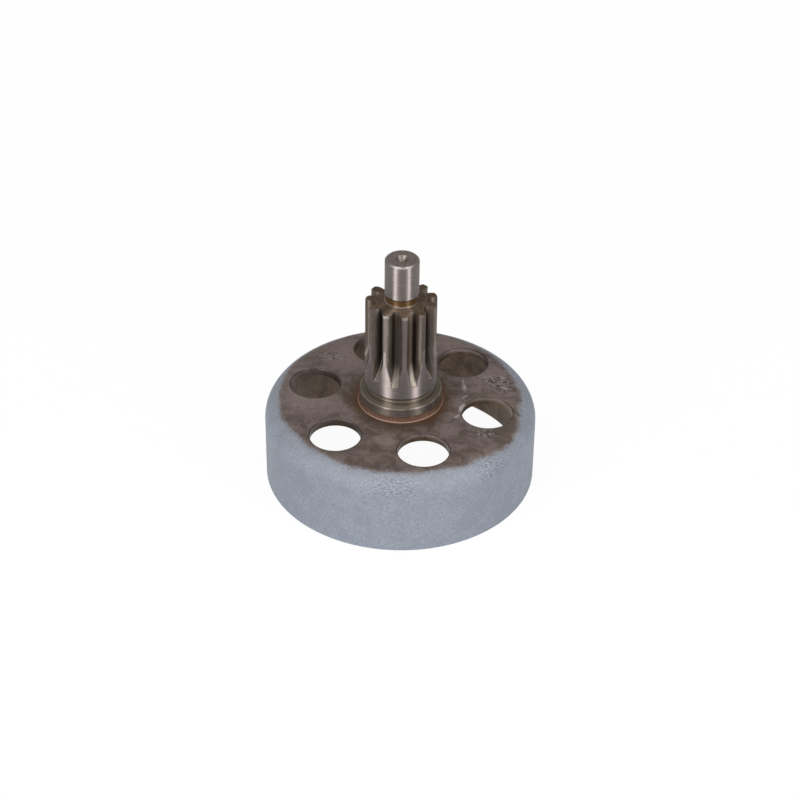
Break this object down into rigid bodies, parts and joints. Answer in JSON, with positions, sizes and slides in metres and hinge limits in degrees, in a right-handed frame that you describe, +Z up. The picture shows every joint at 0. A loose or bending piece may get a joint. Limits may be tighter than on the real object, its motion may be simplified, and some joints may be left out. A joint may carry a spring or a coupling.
{
  "type": "clutch drum",
  "caption": "Drawn steel clutch cup with round vents in its web, brazed to a turned shaft that carries a bearing seat, a hobbed straight-tooth pinion and a ground end journal.",
  "frame": {"origin": "on the drum's axis, in the plane of its open rim, on which it stands", "axes": "+Z up the shaft towards the journal; +X from the axis through the middle of the first vent; +Y completes the right-handed frame"},
  "size_m": [0.0572, 0.0572, 0.0527],
  "materials": {
    "drum_steel": "matt light grey blasted wall and shoulder, brown heat-tinted web",
    "shaft_steel": "oiled dark steel teeth, bright ground seat and journal",
    "braze_copper": "dull copper braze"
  },
  "bodies": {
    "root": {"drum": "drum_steel", "pinion_shaft": "shaft_steel", "braze_fillet": "braze_copper"}
  },
  "joints": []
}
